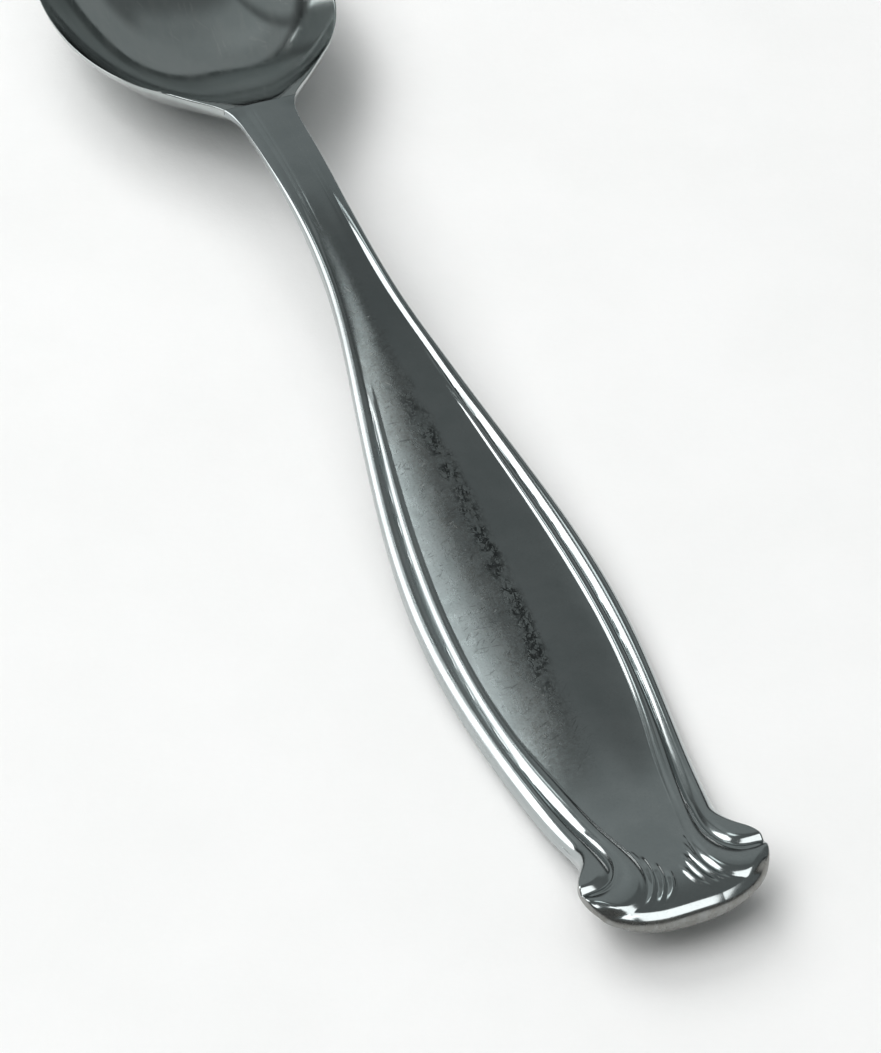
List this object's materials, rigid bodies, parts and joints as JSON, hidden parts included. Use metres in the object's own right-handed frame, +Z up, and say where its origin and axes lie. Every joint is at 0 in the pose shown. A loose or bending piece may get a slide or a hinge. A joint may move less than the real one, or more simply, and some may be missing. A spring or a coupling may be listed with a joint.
{
  "type": "coffee spoon",
  "caption": "Metal coffee spoon with an oval bowl, a narrow stem and a waisted handle with raised threads along its edges, fluted ears and an upturned end.",
  "frame": {"origin": "middle of the spoon's length and width, on the surface that it lies on", "axes": "+Y along the spoon from the handle's end to the bowl's tip, +Z up out of the open bowl, +X to the right when looking from the handle towards the bowl"},
  "size_m": [0.0268, 0.138, 0.0103],
  "materials": {
    "bowl_metal": "polished, fine scratches",
    "handle_metal": "polished, rubbed and tarnished along the middle of the face"
  },
  "bodies": {
    "root": {"bowl": "bowl_metal", "handle": "handle_metal"}
  },
  "joints": []
}
